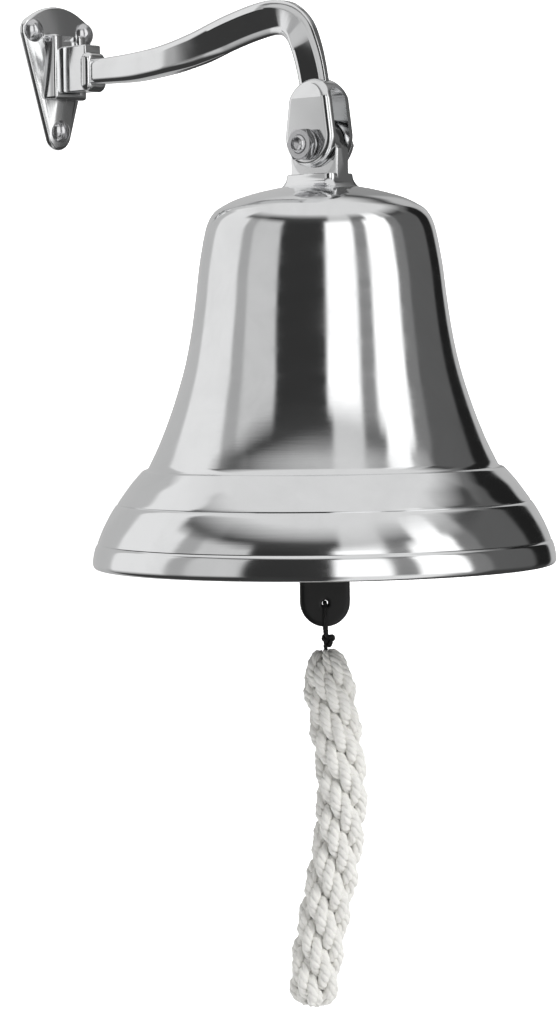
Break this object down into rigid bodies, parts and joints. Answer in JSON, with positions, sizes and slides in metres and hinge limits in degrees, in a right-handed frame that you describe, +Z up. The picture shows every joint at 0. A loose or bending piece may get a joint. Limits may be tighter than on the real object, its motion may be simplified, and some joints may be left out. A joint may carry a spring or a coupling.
{
  "type": "ship bell",
  "caption": "Wall-hung ship bell on a gooseneck bracket arm that lifts out of its wall plate, with a clapper inside and a plaited bell rope",
  "frame": {"origin": "centre of the wall plate's flat back face, which lies on the wall", "axes": "+Z up, +Y into the wall, so the bell hangs at -Y; +X to the right when facing the wall; the plane X = 0 halves the bracket"},
  "size_m": [0.2028, 0.2896, 0.4506],
  "materials": {
    "polished_aluminium": "polished",
    "plated_steel": "polished",
    "blackened_iron": "satin",
    "black_cord": "matte",
    "white_cotton": "matte"
  },
  "bodies": {
    "wall": {"wall_plate": "polished_aluminium", "wall_screw_left": "plated_steel", "wall_screw_right": "plated_steel", "wall_screw_lower": "plated_steel"},
    "arm": {"bracket_arm": "polished_aluminium", "pivot_bolt": "plated_steel", "pivot_nut": "plated_steel", "pivot_washer_near": "plated_steel", "pivot_washer_far": "plated_steel"},
    "bell": {"bell": "polished_aluminium", "clapper_eye_bolt": "plated_steel", "crown_washer": "plated_steel", "crown_lock_nut": "plated_steel"},
    "link": {"clapper_link": "plated_steel"},
    "clapper": {"clapper": "blackened_iron"},
    "tie": {"tie_cord": "black_cord"},
    "rope": {"bell_rope": "white_cotton"}
  },
  "joints": [
    {"name": "arm_lift", "type": "slide", "parent": "wall", "child": "arm", "axis": [0, 0, 1], "range_m": [0, 0.028]},
    {"name": "bell_swing", "type": "hinge", "parent": "arm", "child": "bell", "pos_m": [0, -0.1675, -0.04], "axis": [1, 0, 0], "range_deg": [-45, 23]},
    {"name": "link_swing", "type": "hinge", "parent": "bell", "child": "link", "pos_m": [0, -0.1675, -0.0887], "axis": [0.7071, -0.7071, 0], "range_deg": [-22, 22]},
    {"name": "clapper_swing", "type": "hinge", "parent": "link", "child": "clapper", "pos_m": [0, -0.1675, -0.0993], "axis": [-0.7071, -0.7071, 0], "range_deg": [-22, 22]},
    {"name": "tie_swing", "type": "hinge", "parent": "clapper", "child": "tie", "pos_m": [0, -0.1675, -0.2399], "axis": [-0.7071, -0.7071, 0], "range_deg": [-30, 30]},
    {"name": "rope_swing", "type": "hinge", "parent": "tie", "child": "rope", "pos_m": [0, -0.1675, -0.2603], "axis": [0.7071, -0.7071, 0], "range_deg": [-30, 30]}
  ]
}
